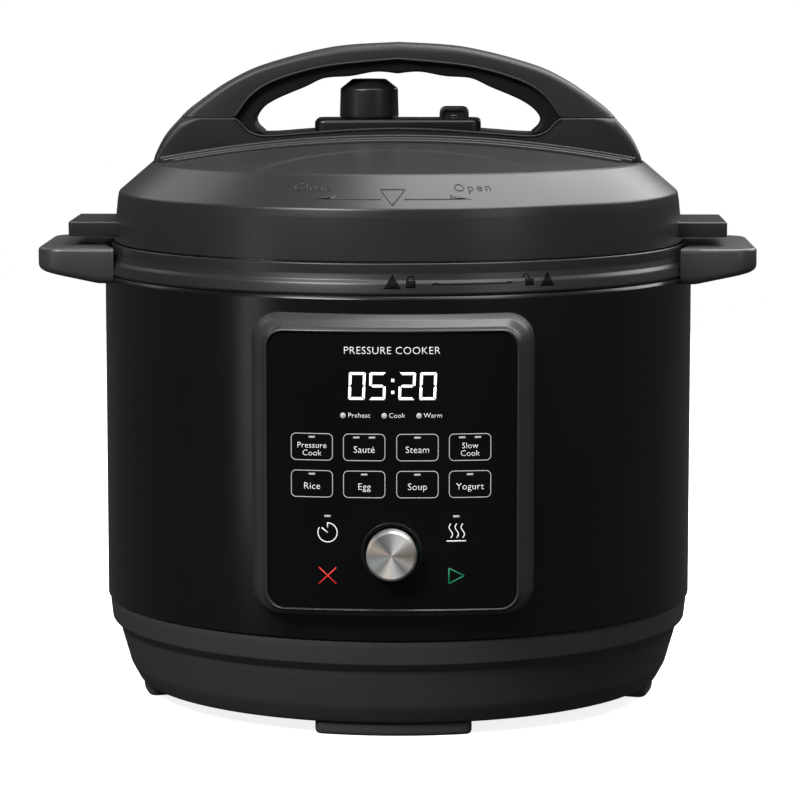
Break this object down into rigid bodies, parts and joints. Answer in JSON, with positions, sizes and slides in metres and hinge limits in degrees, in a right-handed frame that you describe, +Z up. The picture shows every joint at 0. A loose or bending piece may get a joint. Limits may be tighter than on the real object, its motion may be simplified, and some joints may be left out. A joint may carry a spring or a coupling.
{
  "type": "electric pressure cooker",
  "caption": "Electric pressure cooker with a black round body, front control panel with a dial, and a twist-lock lid with an arched handle.",
  "frame": {"origin": "on the floor, under the pot's axis, at the centre of the bounding box's bottom", "axes": "+Z up, front with the control panel towards -Y, +X to the right seen from the front"},
  "size_m": [0.332, 0.312, 0.3043],
  "materials": {
    "shell_gloss": "gloss black enamel",
    "base_matte": "matte dark grey",
    "lid_plastic": "satin charcoal",
    "grip_plastic": "fine textured",
    "dark_plastic": "matte black",
    "bezel_plastic": "satin dark grey",
    "panel_gloss": "gloss black",
    "foot_rubber": "matte",
    "silicone": "translucent white silicone",
    "steel": "brushed",
    "aluminium": "brushed",
    "circuit": "solder mask",
    "clear_plastic": "smoky clear plastic",
    "brass": "plain"
  },
  "bodies": {
    "housing": {"foot_right": "foot_rubber", "foot_back": "foot_rubber", "foot_left": "foot_rubber", "foot_front": "foot_rubber", "base_housing": "base_matte", "base_screw_1": "steel", "base_screw_2": "steel", "base_screw_3": "steel", "body_shell": "shell_gloss", "rim_collar": "lid_plastic", "side_handle_left": "grip_plastic", "side_handle_right": "grip_plastic", "control_bezel": "bezel_plastic", "control_fascia": "panel_gloss", "dial_surround": "dark_plastic", "control_board": "circuit", "display_module": "dark_plastic", "power_board": "circuit", "encoder_body": "steel", "outer_pot": "steel", "heating_plate": "aluminium", "heating_element": "steel", "heat_shield": "steel", "thermal_fuse": "silicone", "sensor_bracket": "steel", "sensor_spring": "steel", "power_inlet": "dark_plastic", "inlet_pin_1": "steel", "inlet_pin_2": "steel", "inlet_pin_3": "steel", "cup_bracket": "lid_plastic"},
    "encoder_hub": {"encoder_rotor": "brass"},
    "dial": {"dial_cap": "aluminium", "encoder_shaft": "steel"},
    "temperature_probe": {"temperature_sensor": "aluminium"},
    "cup": {"condensation_cup": "clear_plastic"},
    "pot": {"inner_pot": "steel"},
    "seal": {"sealing_ring": "silicone"},
    "lid": {"lid_cover": "lid_plastic", "lid_plate": "steel", "ring_rack": "steel", "lid_fin_left": "lid_plastic", "lid_fin_right": "lid_plastic", "handle_base": "grip_plastic", "handle_grip": "grip_plastic", "grip_liner": "dark_plastic", "valve_deck": "lid_plastic", "vent_pipe": "steel", "anti_block_shield": "steel", "button_spring": "steel", "lever_pin": "steel", "handle_screw_1": "steel", "handle_screw_2": "steel"},
    "button": {"release_button": "panel_gloss"},
    "lever": {"release_lever": "steel"},
    "steam_valve": {"steam_valve_knob": "panel_gloss", "steam_valve_stem": "steel"},
    "float": {"float_valve": "steel", "float_seal": "silicone"}
  },
  "joints": [
    {"name": "pot_lift", "type": "slide", "parent": "housing", "child": "pot", "axis": [0, 0, 1], "range_m": [0, 0.18]},
    {"name": "lid_lift", "type": "slide", "parent": "pot", "child": "seal", "axis": [0, 0, 1], "range_m": [0, 0.1]},
    {"name": "lid_twist", "type": "hinge", "parent": "seal", "child": "lid", "pos_m": [0, 0, 0.2], "axis": [0, 0, 1], "range_deg": [0, 30]},
    {"name": "release_press", "type": "slide", "parent": "lid", "child": "button", "axis": [0, 0, 1], "range_m": [-0.0024, 0], "stiffness_N_per_m": 200, "springref_m": 0.004, "deforming": ["button_spring"]},
    {"name": "lever_tilt", "type": "hinge", "parent": "lid", "child": "lever", "pos_m": [-0.00365, 0, 0.2649], "axis": [0, 1, 0], "range_deg": [0, 4.7]},
    {"name": "valve_lift", "type": "slide", "parent": "lid", "child": "steam_valve", "axis": [0, 0, 1], "range_m": [0, 0.00081]},
    {"name": "float_rise", "type": "slide", "parent": "lid", "child": "float", "axis": [0, 0, 1], "range_m": [0, 0.004]},
    {"name": "dial_turn", "type": "hinge", "parent": "housing", "child": "encoder_hub", "pos_m": [0, -0.138, 0.087], "axis": [0, -1, 0], "continuous": true},
    {"name": "dial_press", "type": "slide", "parent": "encoder_hub", "child": "dial", "axis": [0, 1, 0], "range_m": [0, 0.0008], "stiffness_N_per_m": 400, "springref_m": -0.003},
    {"name": "probe_sink", "type": "slide", "parent": "housing", "child": "temperature_probe", "axis": [0, 0, 1], "range_m": [-0.0015, 0], "stiffness_N_per_m": 600, "springref_m": 0.004, "deforming": ["sensor_spring"]},
    {"name": "cup_slide", "type": "slide", "parent": "housing", "child": "cup", "axis": [0, 1, 0], "range_m": [0, 0.045]}
  ],
  "couplings": [
    {"joint": "valve_lift", "follows": "release_press", "ratio": -0.3333},
    {"joint": "lever_tilt", "follows": "release_press", "rad_per_m": -33.5}
  ]
}
